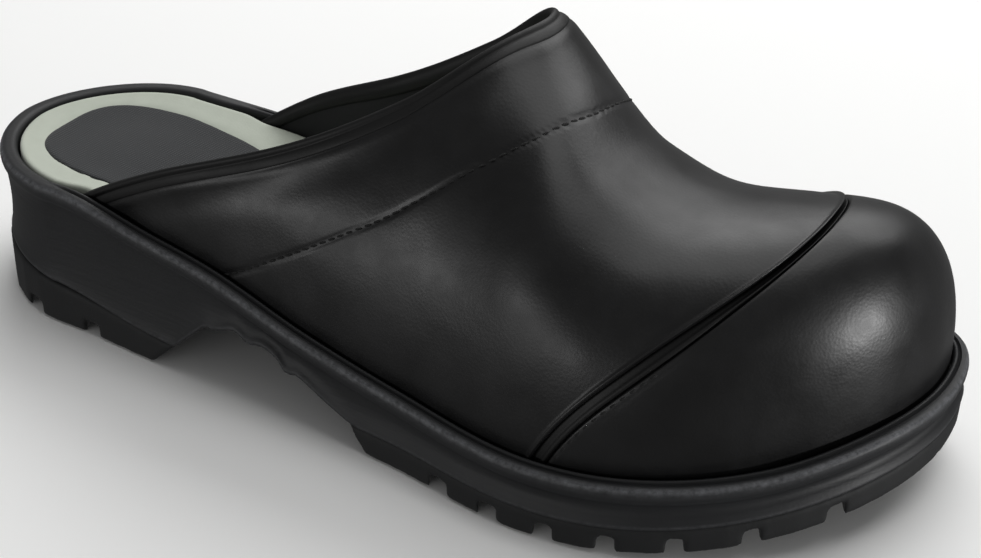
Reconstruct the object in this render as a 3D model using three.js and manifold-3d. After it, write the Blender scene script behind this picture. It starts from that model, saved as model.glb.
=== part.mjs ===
import * as THREE from 'three';
import { mergeVertices } from 'three/addons/utils/BufferGeometryUtils.js';
import Module from 'manifold-3d';

const wasm = await Module();
wasm.setup();

// Backless leather safety clog for the right foot, in millimetres.
// X runs from the heel to the toe, Y to the inner side of the foot and Z up from the floor.

// Lengths and widths of the sole
const soleLength = 296;
const ballWidth = 116;
const heelWidth = 80;
const toeSkew = 22;            // how far the toe tip lies to the inner side
const toeShift = 2;            // and how much further the upper's and the footbed's do

// Heights above the floor
const heelHeight = 47;         // top of the rim at the back of the heel
const instepHeight = 112;      // crown of the upper at the collar
const toeSpring = 14;          // rise of the tread under the toe tip

// Rim and side of the sole
const rimWidth = 4.8;          // beside the upper
const heelRimWidth = 5.4;      // behind the collar, where no upper stands in the rim
const heelRimDepth = 7.5;      // how far the footbed reaches below the rim at the heel
const rimDepth = 4.5;          // and with the upper from the waist to the toe
const rimBand = 5;             // height over which the side swings out to the rim
const rimRound = 1.8;          // rounding of the rim's outer corner
const rimBevel = 0.8;          // bevel of its inner corner
const rimTaper = 8;            // length over which the rim narrows beside the collar's end
const wallWaist = 1.6;         // how far the side of the sole is drawn in below the rim
const waistPlace = 0.45;       // and where, as a share of the way from the tread to the rim
const footLip = 0.2;           // how far the tread is set in from the rim

// Tread
const heelLiftBack = 19;       // heel tread, measured at its back
const heelLiftFront = 9;       // and at the top of its front face
const foreTread = 8.5;         // thickness of the tread under the forefoot
const treadBevel = 0.8;        // bevel along the foot of the tread
const treadRound = 1;          // and along its top
const lugDepth = 4.8;
const grooveWidth = 4.6;
const channelWidth = 5;        // groove along the middle of the tread
const foreMiddle = 6;          // its place towards the inner side under the forefoot
const breastFoot = 77.5;       // front of the heel on the floor
const breastSlope = 1.05;      // forward run of the heel's front face for each mm of height
const treadStart = 155.5;      // back of the forefoot tread on the floor
const treadSlope = 0.74;       // forward run of its back face, leaning the other way
const grooveTurn = 26;         // degrees between a groove and the width of the sole

// Upper
const upperWall = 2.4;
const toePieceWall = 1.4;
const wallTaper = 30;          // length over which the upper thickens behind the toe piece
const wallMargin = 6;          // and how far behind the seam it is done
const clearance = 0.3;         // gap between neighbouring pieces
const curveGap = 0.5;          // the same between two curved ones
const footbedGap = 0.8;        // gap between the footbed and the upper's inside
const crownLean = 14.5;        // how far the crown leans to the inner side at the collar
const toeLean = -4.5;          // and over the toe, where it leans back outwards
const instepRoundness = 2.1;   // exponent of the cross-sections at the collar
const toeRoundness = 2.5;      // and over the toe, which is squarer
const toeShapeFrom = 225;      // place from which they have the toe's shape
const toeOutline = 2.26;       // exponent of the toe's outline from above
const heelOutline = 1.84;

// Collar edge, seam and bead, as places along the sole
const collarLateral = 42;
const collarMedial = 58;
const collarTop = 173;
const collarSweep = 1.0;       // exponent of the curve from the rim to the top of the collar
const bindingRoll = 3.4;       // diameter of the rolled edge
const seamBase = 208;
const seamTop = 264;
const seamSweep = 1.06;        // exponent of the seam's curve from the rim to the crown
const beadRoll = 3;            // diameter of the seam's bead

// Footbed and heel pad
const footbedDrop = 0.7;       // edge of the footbed below the rim
const cupDepth = 2.8;          // hollow of the footbed under the heel
const cupFront = 0.3;          // share of it that is left in front of the pad
const cupBorder = 20;          // width of the border that slopes down into it
const padLength = 77;
const padWidth = 48;
const padStart = 15.3;
const padShift = 0.5;          // middle of the pad towards the inner side
const padSquareness = 2.9;     // exponent of its outline
const padSunk = 1.2;
const padProud = 0.4;

// Sole from heel to toe: half widths of the two sides as shares of the ball width
const soleSides = [
  { at: 0.14, lateral: 0.342, medial: 0.343 },
  { at: 0.27, lateral: 0.369, medial: 0.399 },
  { at: 0.40, lateral: 0.395, medial: 0.366 },
  { at: 0.55, lateral: 0.433, medial: 0.402 },
  { at: 0.695, lateral: 0.493, medial: 0.507 },
];

// Top of the rim as a share of the heel height
const rimLine = [
  { at: 0.00, height: 0.990 },
  { at: 0.15, height: 0.988 },
  { at: 0.25, height: 0.893 },
  { at: 0.34, height: 0.800 },
  { at: 0.45, height: 0.607 },
  { at: 0.56, height: 0.485 },
  { at: 0.68, height: 0.448 },
  { at: 0.78, height: 0.468 },
  { at: 0.89, height: 0.550 },
  { at: 1.00, height: 0.696 },
];

// Crown of the upper's cross-sections as a share of the instep height
const crownLine = [
  { at: 0.15, height: 1.100 },
  { at: 0.35, height: 0.995 },
  { at: 0.50, height: 0.968 },
  { at: 0.58, height: 0.988 },
  { at: 0.64, height: 0.875 },
  { at: 0.695, height: 0.756 },
  { at: 0.76, height: 0.687 },
  { at: 0.84, height: 0.740 },
  { at: 1.00, height: 0.945 },
];

// Underside of the waist with its ribs, from the heel's front to the forefoot tread:
// place as a share of the length, height as a share of the heel height
const waistLine = [
  { at: 0.346, height: 0.437 },
  { at: 0.359, height: 0.465 },
  { at: 0.367, height: 0.490 },
  { at: 0.376, height: 0.490 },
  { at: 0.382, height: 0.449 },
  { at: 0.390, height: 0.439 },
  { at: 0.402, height: 0.462 },
  { at: 0.415, height: 0.444 },
  { at: 0.424, height: 0.409 },
  { at: 0.427, height: 0.357 },
  { at: 0.435, height: 0.342 },
  { at: 0.444, height: 0.357 },
  { at: 0.452, height: 0.341 },
  { at: 0.477, height: 0.261 },
];
const breastTop = 0.44;        // height of the heel's front face, a share of the heel height

// Slope of the footbed's border: distance from its edge as a share of the border's width,
// and how far it has sunk there as a share of the hollow
const borderSlope = [
  { from: 0, sink: 0 },
  { from: 0.25, sink: 0.35 },
  { from: 0.6, sink: 0.8 },
  { from: 1, sink: 1 },
];

// Grooves of the tread, measured at the outer edge of the sole
const heelGrooves = [31.5, 54];
const foreGrooveStart = 181;
const foreGroovePitch = 16.4;

// Rolled and sewn shapes are divided this finely
const heelSteps = 7;
const sideSteps = 17;
const toeSteps = 16;
const archSteps = 26;
const vampSteps = 19;
const toeRows = 13;
const rollSides = 8;
const padSteps = 40;
const lineSteps = 20;
const weld = 1e-4;             // points closer than this are one

const ballX = soleSides.at(-1).at * soleLength;
const heelX = soleSides[0].at * soleLength;
const upperInset = rimWidth + curveGap;
const heelFront = breastFoot + breastSlope * heelLiftFront;
const beyond = 20;             // how far cutting bodies reach past what they cut
const fullWidth = 2 * ballWidth;

// Smooth value of a table's column between its rows
function tableValue(rows, column, at) {
  const last = rows.length - 1;
  let i = 0;
  while (i < last - 1 && at > rows[i + 1].at) i += 1;
  const slope = (j) => {
    if (j === 0 || j === last) return 0;
    return (rows[j + 1][column] - rows[j - 1][column]) / (rows[j + 1].at - rows[j - 1].at);
  };
  const span = rows[i + 1].at - rows[i].at;
  const t = THREE.MathUtils.clamp((at - rows[i].at) / span, 0, 1);
  const rise = t * t * (3 - 2 * t);
  const start = rows[i][column];
  const end = rows[i + 1][column];
  const bend = span * (slope(i) * t * (1 - t) ** 2 - slope(i + 1) * t * t * (1 - t));
  return start + (end - start) * rise + bend;
}

const mix = THREE.MathUtils.lerp;
const ramp = (x, from, to) => THREE.MathUtils.smoothstep(x, from, to);
const rimZ = (x) => tableValue(rimLine, 'height', x / soleLength) * heelHeight;
const seatZ = (x) => rimZ(x) - mix(heelRimDepth, rimDepth, ramp(x, heelX, heelFront));
const crownZ = (x) => tableValue(crownLine, 'height', x / soleLength) * instepHeight;
const skewAt = (inset) => toeSkew + toeShift * Math.min(1, inset / upperInset);
const floorZ = (x) => toeSpring * Math.max(0, (x - ballX) / (soleLength - ballX)) ** 2;
const foreTop = (x) => floorZ(x) + foreTread;
const heelTop = (x) => Math.max(lugDepth, mix(heelLiftBack, heelLiftFront, x / heelFront));

// Distance from the middle line to the outline, on the side given by the sign
function halfWidth(x, side) {
  return tableValue(soleSides, side < 0 ? 'lateral' : 'medial', x / soleLength) * ballWidth;
}

// The same up to the tip of the toe, as a place across the sole
function edgeAcross(x, side) {
  const share = THREE.MathUtils.clamp((x - ballX) / (soleLength - ballX), 0, 1);
  const width = halfWidth(Math.min(x, ballX), side) * (1 - share ** toeOutline) ** (1 / toeOutline);
  return side * width + toeSkew * share * share;
}

// Stretch that turns a circle about the ball into the toe's squarer outline
function toeStretch(across, ahead) {
  const reach = Math.hypot(across, ahead);
  if (ahead <= 0) return 1;
  const sum = Math.abs(across / reach) ** toeOutline + (ahead / reach) ** toeOutline;
  return sum ** (-1 / toeOutline);
}

// Point of the outline moved in by an inset: 0 is the heel's tip, 1 its widest place,
// 2 the ball and 3 the tip of the toe
function outlinePoint(station, side, inset) {
  if (station < 1) {
    const turn = station * Math.PI / 2;
    const x = heelX - (heelX - inset) * Math.cos(turn) ** (2 / heelOutline);
    return new THREE.Vector2(x, side * (heelWidth / 2 - inset) * Math.sin(turn) ** (2 / heelOutline));
  }
  if (station <= 2) {
    const x = mix(heelX, ballX, station - 1);
    return new THREE.Vector2(x, side * (halfWidth(x, side) - inset));
  }
  const turn = (station - 2) * Math.PI / 2;
  const across = Math.cos(turn);
  const ahead = Math.sin(turn);
  const stretch = toeStretch(across, ahead);
  const x = ballX + (soleLength - ballX - inset) * ahead * stretch;
  const y = side * (halfWidth(ballX, side) - inset) * across * stretch;
  return new THREE.Vector2(x, y + skewAt(inset) * (ahead * stretch) ** 2);
}

// Stations of the outline from heel to toe, the same on both sides
const stations = [];
for (let i = 0; i < heelSteps; i += 1) stations.push(i / heelSteps);
for (let i = 0; i < sideSteps; i += 1) stations.push(1 + i / sideSteps);
for (let i = 0; i <= toeSteps; i += 1) stations.push(2 + i / toeSteps);

// Ring round the sole: out along the outer side, back along the inner one
function soleRing(insetAt, heightAt) {
  const point = (station, side) => {
    const inset = insetAt(outlinePoint(station, side, 0).x, side);
    const place = outlinePoint(station, side, inset);
    return new THREE.Vector3(place.x, place.y, heightAt(place.x));
  };
  const outer = stations.map((station) => point(station, -1));
  const inner = stations.map((station) => point(station, 1));
  return [...outer, ...inner.reverse()];
}

// Closed mesh through rings of points, with end faces made of strips between opposite points
function loft(rings) {
  const positions = [];
  const facet = (...corners) => {
    const same = (a, b) => a.distanceTo(b) < weld;
    const [a, b, c] = corners;
    if (same(a, b) || same(b, c) || same(c, a)) return;
    corners.forEach((corner) => positions.push(...corner.toArray()));
  };
  const patch = (a, b, c, d) => {
    facet(a, b, c);
    facet(a, c, d);
  };
  const count = rings[0].length;
  for (let k = 0; k < rings.length - 1; k += 1) {
    for (let i = 0; i < count; i += 1) {
      const j = (i + 1) % count;
      patch(rings[k][i], rings[k][j], rings[k + 1][j], rings[k + 1][i]);
    }
  }
  const first = rings[0];
  const last = rings.at(-1);
  for (let i = 0; i < count / 2 - 1; i += 1) {
    const back = count - 1 - i;
    patch(first[i], first[back], first[back - 1], first[i + 1]);
    patch(last[i], last[i + 1], last[back - 1], last[back]);
  }
  const geometry = new THREE.BufferGeometry();
  geometry.setAttribute('position', new THREE.Float32BufferAttribute(positions, 3));
  return facingOut(mergeVertices(geometry, weld));
}

// Volume inside a mesh, negative where its faces point in
function signedVolume(geometry) {
  const place = geometry.attributes.position;
  const corner = (i) => new THREE.Vector3().fromBufferAttribute(place, geometry.index.getX(i));
  let volume = 0;
  for (let i = 0; i < geometry.index.count; i += 3) {
    volume += corner(i).dot(corner(i + 1).cross(corner(i + 2))) / 6;
  }
  return volume;
}

function facingOut(geometry) {
  if (signedVolume(geometry) > 0) return geometry;
  const index = geometry.index.array;
  for (let i = 0; i < index.length; i += 3) [index[i], index[i + 1]] = [index[i + 1], index[i]];
  return geometry;
}

// Solid for joining and cutting, and back again
function toSolid(geometry) {
  const bare = geometry.clone();
  bare.deleteAttribute('normal');
  bare.deleteAttribute('uv');
  const merged = mergeVertices(bare, weld);
  return new wasm.Manifold(new wasm.Mesh({
    numProp: 3,
    vertProperties: new Float32Array(merged.attributes.position.array),
    triVerts: new Uint32Array(merged.index.array),
  }));
}

function toGeometry(solid) {
  const mesh = solid.getMesh();
  const geometry = new THREE.BufferGeometry();
  geometry.setAttribute('position', new THREE.BufferAttribute(new Float32Array(mesh.vertProperties), 3));
  geometry.setIndex(new THREE.BufferAttribute(new Uint32Array(mesh.triVerts), 1));
  return geometry;
}

// Bar across the sole with a side view given by places along it and heights
function sideBar(outline, width) {
  const shape = new THREE.Shape(outline.map(([x, z]) => new THREE.Vector2(x, z)));
  const geometry = new THREE.ExtrudeGeometry(shape, { depth: width, bevelEnabled: false });
  geometry.rotateX(Math.PI / 2);
  geometry.translate(0, width / 2, 0);
  return toSolid(geometry);
}

// Heights along the tread as points of a side view, from one place to another
function treadLine(heightAt, from, to) {
  const points = [];
  for (let i = 0; i <= lineSteps; i += 1) {
    const x = mix(from, to, i / lineSteps);
    points.push([x, heightAt(x)]);
  }
  return points;
}

const breastX = (z) => breastFoot + breastSlope * z;
const treadX = (z) => treadStart - treadSlope * z;

// Everything below the unit of the sole: both treads, the heel's front face and the waist
function spaceBelowUnit() {
  const heel = (x) => heelTop(x) + clearance;
  const top = breastTop * heelHeight;
  const tread = (x) => foreTop(x) + clearance;
  const waist = waistLine.map((row) => [row.at * soleLength, row.height * heelHeight]);
  return sideBar([
    [-beyond, -beyond],
    [-beyond, heel(-beyond)],
    [heelFront, heel(heelFront)],
    [breastX(top), top],
    ...waist,
    [treadX(foreTread), tread(0)],
    ...treadLine(tread, ballX, soleLength + beyond),
    [soleLength + beyond, -beyond],
  ], fullWidth);
}

// Grooves between the lugs, running out and forward from a channel along the middle
function treadGrooves(places, to, middle) {
  const turn = THREE.MathUtils.degToRad(grooveTurn);
  const tall = 2 * beyond;
  const inner = (place, side) => place - Math.abs(edgeAcross(place, side) - middle) * Math.tan(turn);
  const from = inner(places[0], -1);
  const channel = new THREE.BoxGeometry(to - from, channelWidth, tall);
  let grooves = toSolid(channel.translate((from + to) / 2, middle, 0));
  for (const place of places) {
    for (const side of [-1, 1]) {
      const cut = new THREE.BoxGeometry(grooveWidth, ballWidth, tall);
      cut.translate(0, side * ballWidth / 2, 0);
      cut.rotateZ(-side * turn);
      cut.translate(inner(place, side), middle, 0);
      grooves = grooves.add(toSolid(cut));
    }
  }
  const ceiling = (x) => floorZ(x) + lugDepth;
  const below = sideBar([
    [from - beyond, -beyond],
    ...treadLine(ceiling, from - beyond, to + beyond),
    [to + beyond, -beyond],
  ], fullWidth);
  return grooves.intersect(below);
}

// Block of the sole with bevels along its foot and its top
function treadBlock(topAt) {
  const rows = [
    { inset: footLip + treadBevel, height: floorZ },
    { inset: footLip, height: (x) => floorZ(x) + treadBevel },
    { inset: footLip, height: (x) => topAt(x) - treadRound },
    { inset: footLip + treadRound, height: topAt },
  ];
  return toSolid(loft(rows.map((row) => soleRing(() => row.inset, row.height))));
}

function heelTread() {
  const side = sideBar([
    [-beyond, -beyond],
    [breastX(-beyond), -beyond],
    [breastX(heelHeight), heelHeight],
    [-beyond, heelHeight],
  ], fullWidth);
  const block = treadBlock(heelTop).intersect(side);
  return toGeometry(block.subtract(treadGrooves(heelGrooves, breastFoot + beyond, 0)));
}

function foreTreadBlock() {
  const side = sideBar([
    [treadX(-beyond), -beyond],
    [soleLength + beyond, -beyond],
    [soleLength + beyond, heelHeight],
    [treadX(heelHeight), heelHeight],
  ], fullWidth);
  const places = [];
  const last = soleLength - foreGroovePitch / 2;
  for (let place = foreGrooveStart; place < last; place += foreGroovePitch) places.push(place);
  const block = treadBlock(foreTop).intersect(side);
  return toGeometry(block.subtract(treadGrooves(places, places.at(-1), foreMiddle)));
}

// Rim beside the upper is narrower than behind the collar
function rimInset(wide, narrow) {
  return (x, side) => {
    const edge = (side < 0 ? collarLateral : collarMedial) + bindingRoll;
    return mix(wide, narrow, ramp(x, edge - 1.5 * rimTaper, edge - 0.5 * rimTaper));
  };
}

// Moulded unit: heel block, waist, side wall and the rim that holds upper and footbed
function soleUnit() {
  const inner = rimInset(heelRimWidth, rimWidth);
  const rows = [
    { inset: () => footLip + treadRound, height: () => 0 },
    { inset: () => footLip + treadRound, height: (x) => foreTop(x) + clearance },
    { inset: () => wallWaist, height: (x) => mix(foreTop(x), rimZ(x), waistPlace) },
    { inset: () => wallWaist / 2, height: (x) => rimZ(x) - rimBand },
    { inset: () => 0, height: (x) => rimZ(x) - 2 * rimRound },
    { inset: () => 0, height: (x) => rimZ(x) - rimRound },
    { inset: () => rimRound / 3, height: (x) => rimZ(x) - rimRound / 3 },
    { inset: () => rimRound, height: rimZ },
    { inset: (x, side) => inner(x, side) - rimBevel, height: rimZ },
    { inset: inner, height: (x) => rimZ(x) - rimBevel },
    { inset: inner, height: (x) => seatZ(x) - clearance },
  ];
  const block = toSolid(loft(rows.map((row) => soleRing(row.inset, row.height))));
  return toGeometry(block.subtract(spaceBelowUnit()));
}

// The wall's inside steps in by the toe piece's thickness on the way to the seam
const toeStep = toePieceWall + clearance;
function thickening(reach, seam) {
  const done = seam - wallMargin;
  return toeStep * ramp(reach, done - wallTaper, done);
}

// How far the footbed lies inside the outline, its top and its hollow under the heel
const footbedSide = rimInset(heelRimWidth + clearance, upperInset + upperWall + footbedGap);
const footbedInset = (x, side) => footbedSide(x, side) + thickening(x, seamBase);
const cup = (x) => cupDepth * mix(1, cupFront, ramp(x, heelX, padStart + padLength + cupBorder));

function footbedRings(raise) {
  return borderSlope.map((row) => soleRing(
    (x, side) => footbedInset(x, side) + row.from * cupBorder,
    (x) => rimZ(x) - footbedDrop - row.sink * cup(x) + raise,
  ));
}

function footbedSlab(low, high) {
  return toSolid(loft([...footbedRings(low).reverse(), ...footbedRings(high)]));
}

// Upright column with the pad's outline, a rectangle with round ends, grown by a margin
function padColumn(margin) {
  const long = padLength / 2 + margin;
  const wide = padWidth / 2 + margin;
  const points = [];
  const swing = (value) => Math.sign(value) * Math.abs(value) ** (2 / padSquareness);
  for (let i = 0; i < padSteps; i += 1) {
    const turn = i / padSteps * 2 * Math.PI;
    const x = padStart + padLength / 2 + swing(Math.cos(turn)) * long;
    const y = padShift + swing(Math.sin(turn)) * wide;
    points.push(new THREE.Vector2(x, y));
  }
  const shape = new THREE.Shape(points);
  return toSolid(new THREE.ExtrudeGeometry(shape, { depth: 2 * heelHeight, bevelEnabled: false }));
}

function footbed() {
  const body = toSolid(loft([soleRing(footbedInset, seatZ), ...footbedRings(0)]));
  const pocket = footbedSlab(-padSunk - clearance, beyond).intersect(padColumn(clearance));
  return toGeometry(body.subtract(pocket));
}

function heelPad() {
  return toGeometry(footbedSlab(-padSunk, padProud).intersect(padColumn(0)));
}

// Point of the upper: reach is a place along the sole, turn runs over the foot from the outer
// side, 0, to the inner side, half a turn, and depth is measured into the wall
function upperPoint(reach, turn, depth) {
  const side = -Math.cos(turn);
  const ahead = THREE.MathUtils.clamp((reach - ballX) / (soleLength - ballX), 0, 1);
  const across = side * Math.sqrt(1 - ahead * ahead);
  const rho = Math.min(1, Math.hypot(across, ahead));
  const stretch = toeStretch(across, ahead);
  const half = halfWidth(Math.min(reach, ballX), side) - upperInset - depth;
  const toeLength = soleLength - ballX - upperInset - depth;
  const x = ahead > 0 ? ballX + toeLength * ahead * stretch : reach;
  const crown = x < collarTop ? crownLean * ramp(x, collarMedial, collarTop)
    : mix(crownLean, toeLean, ramp(x, collarTop, ballX));
  const lean = crown * (1 - rho * rho);
  const y = half * across * stretch + skewAt(upperInset) * (ahead * stretch) ** 2 + lean;
  const power = mix(instepRoundness, toeRoundness, ramp(x, collarTop, toeShapeFrom));
  const rise = (crownZ(x) - depth - seatZ(x)) * Math.max(0, 1 - rho ** power) ** (1 / power);
  return new THREE.Vector3(x, y, seatZ(x) + rise);
}

const turns = Array.from({ length: archSteps + 1 }, (_, i) => Math.PI * i / archSteps);
const arch = (turn) => Math.max(0, Math.sin(turn));

// Back of the rolled edge, edge of the leather and middle of the seam, over the foot
function collarReach(turn) {
  const base = mix(collarLateral, collarMedial, (1 - Math.cos(turn)) / 2);
  return mix(base, collarTop, arch(turn) ** collarSweep);
}

const edgeReach = (turn) => collarReach(turn) + bindingRoll + curveGap;
const seamReach = (turn) => mix(seamBase, seamTop, arch(turn) ** seamSweep);
const seamGap = beadRoll / 2 + 4 * clearance;

// Rows over the foot from the collar to the tip of the toe, each with its depths into the wall.
// The wall steps down in front of the seam, where the toe piece lies on it.
function upperRows() {
  const rows = [];
  const inside = (reach, turn) => upperWall + thickening(reach, seamReach(turn));
  for (let i = 0; i <= vampSteps; i += 1) {
    const share = i / vampSteps;
    rows.push({ reach: (t) => mix(edgeReach(t), seamReach(t) - seamGap, share), outside: 0, inside });
  }
  for (let i = 0; i <= toeRows; i += 1) {
    const share = Math.sin(i / toeRows * Math.PI / 2);
    const start = (t) => seamReach(t) - seamGap + clearance;
    rows.push({ reach: (t) => mix(start(t), soleLength, share), outside: toeStep, inside });
  }
  return rows;
}

// Shell between the two depths of its rows, open at the collar and underneath
function shell(rows) {
  const sections = turns.map((turn) => {
    const reaches = rows.map((row) => row.reach(turn));
    const outside = rows.map((row, k) => upperPoint(reaches[k], turn, row.outside));
    const inside = rows.map((row, k) => upperPoint(reaches[k], turn, row.inside(reaches[k], turn)));
    return [...outside, ...inside.reverse()];
  });
  return loft(sections);
}

function toePiece() {
  const rows = [];
  for (let i = 0; i <= toeRows; i += 1) {
    const share = Math.sin(i / toeRows * Math.PI / 2);
    const reach = (t) => mix(seamReach(t) + seamGap, soleLength, share);
    rows.push({ reach, outside: 0, inside: () => toePieceWall });
  }
  return shell(rows);
}

// Turn at which a line over the foot stands a given height above the rim
function turnAbove(lineAt, height, fromInner) {
  const halvings = 30;
  let low = 0;
  let high = Math.PI / 2;
  for (let i = 0; i < halvings; i += 1) {
    const turn = (low + high) / 2;
    const place = lineAt(fromInner ? Math.PI - turn : turn);
    if (place.z < rimZ(place.x) + height) low = turn;
    else high = turn;
  }
  return fromInner ? Math.PI - high : high;
}

// Direction squared up to a line over the foot
function squareTo(lineAt, turn, direction) {
  const nudge = 0.01;
  const along = lineAt(turn + nudge).sub(lineAt(turn - nudge)).normalize();
  const out = direction.clone().addScaledVector(along, -direction.dot(along)).normalize();
  return { along, out };
}

// Round cord laid along a line over the foot
function cordAlong(centreAt, outAt, radius, from, to) {
  const rings = [];
  const apart = Math.PI / archSteps / 2;
  const between = turns.filter((turn) => turn > from + apart && turn < to - apart);
  for (const turn of [from, ...between, to]) {
    const centre = centreAt(turn);
    const { along, out } = squareTo(centreAt, turn, outAt(turn));
    const beside = new THREE.Vector3().crossVectors(along, out);
    rings.push(Array.from({ length: rollSides }, (_, k) => {
      const angle = (k + 0.5) / rollSides * 2 * Math.PI;
      return centre.clone()
        .addScaledVector(out, radius * Math.cos(angle))
        .addScaledVector(beside, radius * Math.sin(angle));
    }));
  }
  return loft(rings);
}

// Rolled edge that stands just behind the leather's edge, all over the collar
function collarBinding() {
  const radius = bindingRoll / 2;
  const edgeAt = (turn) => upperPoint(edgeReach(turn), turn, upperWall / 2);
  const backAt = (turn) => {
    const ahead = upperPoint(edgeReach(turn) + radius, turn, upperWall / 2);
    return squareTo(edgeAt, turn, edgeAt(turn).sub(ahead)).out;
  };
  const centreAt = (turn) => edgeAt(turn).addScaledVector(backAt(turn), radius + curveGap);
  const from = turnAbove(centreAt, radius + clearance, false);
  const to = turnAbove(centreAt, radius + clearance, true);
  return cordAlong(centreAt, backAt, radius, from, to);
}

// Bead in the trench between the vamp and the toe piece
function seamPiping() {
  const radius = beadRoll / 2;
  const centreAt = (turn) => upperPoint(seamReach(turn), turn, toePieceWall - clearance - radius);
  const outAt = (turn) => centreAt(turn).sub(upperPoint(seamReach(turn), turn, toePieceWall));
  const from = turnAbove(centreAt, radius + clearance, false);
  const to = turnAbove(centreAt, radius + clearance, true);
  return cordAlong(centreAt, outAt, radius, from, to);
}

const finishes = {
  leather: { color: 0x1c1c1d, roughness: 0.4 },
  edging: { color: 0x161617, roughness: 0.5 },
  unit: { color: 0x1a1b1c, roughness: 0.65 },
  tread: { color: 0x151617, roughness: 0.75 },
  footbed: { color: 0xc5cbbe, roughness: 0.85 },
  pad: { color: 0x2b2d2f, roughness: 0.9 },
};

const pieces = [
  { name: 'outsole_heel', make: heelTread, finish: 'tread' },
  { name: 'outsole_forefoot', make: foreTreadBlock, finish: 'tread' },
  { name: 'midsole', make: soleUnit, finish: 'unit' },
  { name: 'insole', make: footbed, finish: 'footbed' },
  { name: 'heel_pad', make: heelPad, finish: 'pad' },
  { name: 'upper', make: () => shell(upperRows()), finish: 'leather' },
  { name: 'toe_piece', make: toePiece, finish: 'leather' },
  { name: 'seam_piping', make: seamPiping, finish: 'edging' },
  { name: 'collar_binding', make: collarBinding, finish: 'edging' },
];

// The clog stands on the floor, with its origin under the middle of its box
const clog = new THREE.Group();
for (const piece of pieces) {
  const { color, roughness } = finishes[piece.finish];
  const material = new THREE.MeshStandardMaterial({ color, roughness, metalness: 0 });
  const mesh = new THREE.Mesh(piece.make(), material);
  mesh.name = piece.name;
  clog.add(mesh);
}
const box = new THREE.Box3().setFromObject(clog);
const middle = box.getCenter(new THREE.Vector3());
clog.position.set(-middle.x, -middle.y, -box.min.z);

export default clog;
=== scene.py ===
import math
from functools import lru_cache

import bmesh
import bpy
from mathutils import Matrix, Vector, noise


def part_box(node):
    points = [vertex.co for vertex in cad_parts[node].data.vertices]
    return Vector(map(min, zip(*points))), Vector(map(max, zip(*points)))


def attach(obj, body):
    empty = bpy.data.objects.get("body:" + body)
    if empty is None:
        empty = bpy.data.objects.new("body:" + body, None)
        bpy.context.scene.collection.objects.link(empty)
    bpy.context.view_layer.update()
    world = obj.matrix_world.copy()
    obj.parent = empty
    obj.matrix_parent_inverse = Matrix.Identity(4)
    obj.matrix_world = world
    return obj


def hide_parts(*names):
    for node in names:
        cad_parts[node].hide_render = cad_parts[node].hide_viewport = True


# Backless leather safety clog for the right foot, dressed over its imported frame.
# Sizes are millimetres from the back of the heel: X to the toe, Y to the inner side, Z up.
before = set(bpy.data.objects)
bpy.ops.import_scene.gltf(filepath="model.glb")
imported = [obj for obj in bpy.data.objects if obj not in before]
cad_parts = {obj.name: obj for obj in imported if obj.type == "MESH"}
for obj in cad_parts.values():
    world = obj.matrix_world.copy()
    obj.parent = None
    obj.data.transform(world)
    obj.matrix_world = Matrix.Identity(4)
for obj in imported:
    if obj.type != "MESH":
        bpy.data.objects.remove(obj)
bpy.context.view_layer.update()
mm = 0.001
print("frame loaded,", len(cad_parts), "nodes")

# Camera and studio

cameraView = {
    "turn": 27.553, "height": 31.108, "roll": 1.887,      # degrees
    "distance": 556.439, "aim": (-4.337, 43.111, 4.713),  # from the middle of the object
    "lens": 64.94, "sensor": 36, "near": 10, "far": 20000,
}


# Direction at a turn round the object, from its outer side towards the toe, and a height
def towards(turn, height):
    turn, height = math.radians(turn), math.radians(height)
    flat = math.cos(height)
    return Vector((math.sin(turn) * flat, -math.cos(turn) * flat, math.sin(height)))


def placeCamera(view):
    roll = math.radians(view["roll"])
    back = towards(view["turn"], view["height"])
    right = (-back).cross(Vector((0, 0, 1))).normalized()
    up = right.cross(-back)
    across = right * math.cos(roll) + up * math.sin(roll)
    upward = up * math.cos(roll) - right * math.sin(roll)
    data = bpy.data.cameras.new("camera")
    data.lens, data.sensor_width = view["lens"], view["sensor"]
    data.clip_start, data.clip_end = view["near"] * mm, view["far"] * mm
    camera = bpy.data.objects.new("camera", data)
    place = (Vector(view["aim"]) + back * view["distance"]) * mm
    axes = Matrix((across, upward, back)).transposed().to_4x4()
    camera.matrix_world = Matrix.Translation(place) @ axes
    bpy.context.collection.objects.link(camera)
    bpy.context.scene.camera = camera


# New node, with its settings and with a value or a link for each input that is named
def addNode(tree, kind, settings=None, feeds=None):
    node = tree.nodes.new("ShaderNode" + kind)
    for key, value in (settings or {}).items():
        setattr(node, key, value)
    for key, value in (feeds or {}).items():
        if isinstance(value, bpy.types.NodeSocket):
            tree.links.new(value, node.inputs[key])
        else:
            node.inputs[key].default_value = value
    return node


# Linear colour of an sRGB hex colour
def linear(hexColour):
    parts = [int(hexColour[i:i + 2], 16) / 255 for i in (1, 3, 5)]
    light = [c / 12.92 if c <= 0.04045 else ((c + 0.055) / 1.055) ** 2.4 for c in parts]
    return (*light, 1)


def newMaterial(name):
    material = bpy.data.materials.new(name)
    material.use_nodes = True
    tree = material.node_tree
    tree.nodes.clear()
    shader = addNode(tree, "BsdfPrincipled")
    addNode(tree, "OutputMaterial", feeds={"Surface": shader.outputs[0]})
    return material, tree, shader


studio = {
    "floor": "#f6f6f5", "floorRoughness": 0.9, "floorSize": 6000, "roomLight": 0.2,
    # turn and height of each soft box in degrees, its distance, its width and height, and its watts
    "boxes": {
        "topBox": (160, 82, 1500, (1400, 1000), 8.5),
        "backBox": (182, 46, 1600, (2000, 900), 19),
        "sideBox": (-22, 5, 1100, (1000, 180), 2.9),
        "toeBox": (88, 1.9, 900, (80, 50), 4.2),
    },
}


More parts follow.
